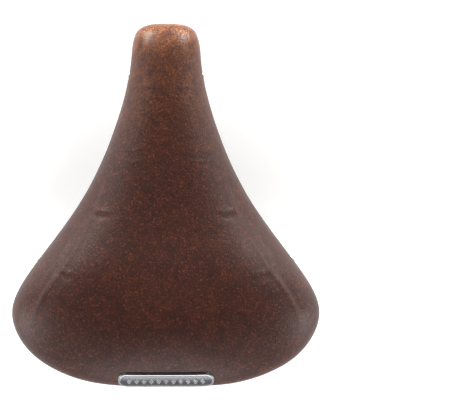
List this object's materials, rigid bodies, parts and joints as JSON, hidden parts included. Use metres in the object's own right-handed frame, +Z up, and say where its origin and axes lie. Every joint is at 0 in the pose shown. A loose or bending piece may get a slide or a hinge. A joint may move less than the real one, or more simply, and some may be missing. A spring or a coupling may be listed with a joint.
{
  "type": "bicycle saddle",
  "caption": "Wide comfort bicycle saddle with a padded leather-look cover on a plastic shell, steel rails and a pair of rear coil springs.",
  "frame": {"origin": "midway between the two rails, at the middle of the straight stretch that a seat post clamp grips, on the rails' centre lines", "axes": "+Y towards the nose, +X to the rider's right, +Z up"},
  "size_m": [0.222, 0.2626, 0.1145],
  "materials": {
    "leather": "reddish brown leather-look cover, fine pebble grain, satin",
    "foam": "open-cell foam, matt",
    "gel": "soft gel insert",
    "shell_plastic": "moulded black, matt",
    "trim_plastic": "moulded dark grey rim, satin",
    "clip_plastic": "moulded dark grey, satin",
    "zinc_steel": "bright zinc plated",
    "black_steel": "black painted steel",
    "bright_metal": "satin silver"
  },
  "bodies": {
    "undercarriage": {"rail_frame": "black_steel", "cross_strap": "zinc_steel", "spring_left": "zinc_steel", "foot_washer_left": "zinc_steel", "foot_bolt_left": "zinc_steel", "coil_washer_left": "zinc_steel", "foot_nut_left": "zinc_steel", "spring_right": "zinc_steel", "foot_washer_right": "zinc_steel", "foot_bolt_right": "zinc_steel", "coil_washer_right": "zinc_steel", "foot_nut_right": "zinc_steel"},
    "seat": {"cover": "leather", "foam_pad": "foam", "gel_pad_left": "gel", "gel_pad_right": "gel", "base_shell": "shell_plastic", "edge_trim": "trim_plastic", "rear_badge": "bright_metal", "nose_stud_left": "bright_metal", "nose_stud_right": "bright_metal", "wing_stud_left": "bright_metal", "wing_stud_right": "bright_metal", "accessory_clip": "clip_plastic", "clip_screw_left": "zinc_steel", "clip_screw_right": "zinc_steel", "nose_bracket": "zinc_steel", "nose_bracket_screw_front": "zinc_steel", "nose_bracket_screw_rear": "zinc_steel", "spring_plate_left": "black_steel", "spring_plate_screw_left_a": "zinc_steel", "spring_plate_screw_left_b": "zinc_steel", "spring_plate_right": "black_steel", "spring_plate_screw_right_a": "zinc_steel", "spring_plate_screw_right_b": "zinc_steel"}
  },
  "joints": [
    {"name": "seat_pitch", "type": "hinge", "parent": "undercarriage", "child": "seat", "pos_m": [0, 0.074, 0.034], "axis": [1, 0, 0], "range_deg": [0, 6], "stiffness_Nm_per_rad": 1400, "springref_deg": -0.06, "deforming": ["spring_left", "spring_right"]}
  ]
}
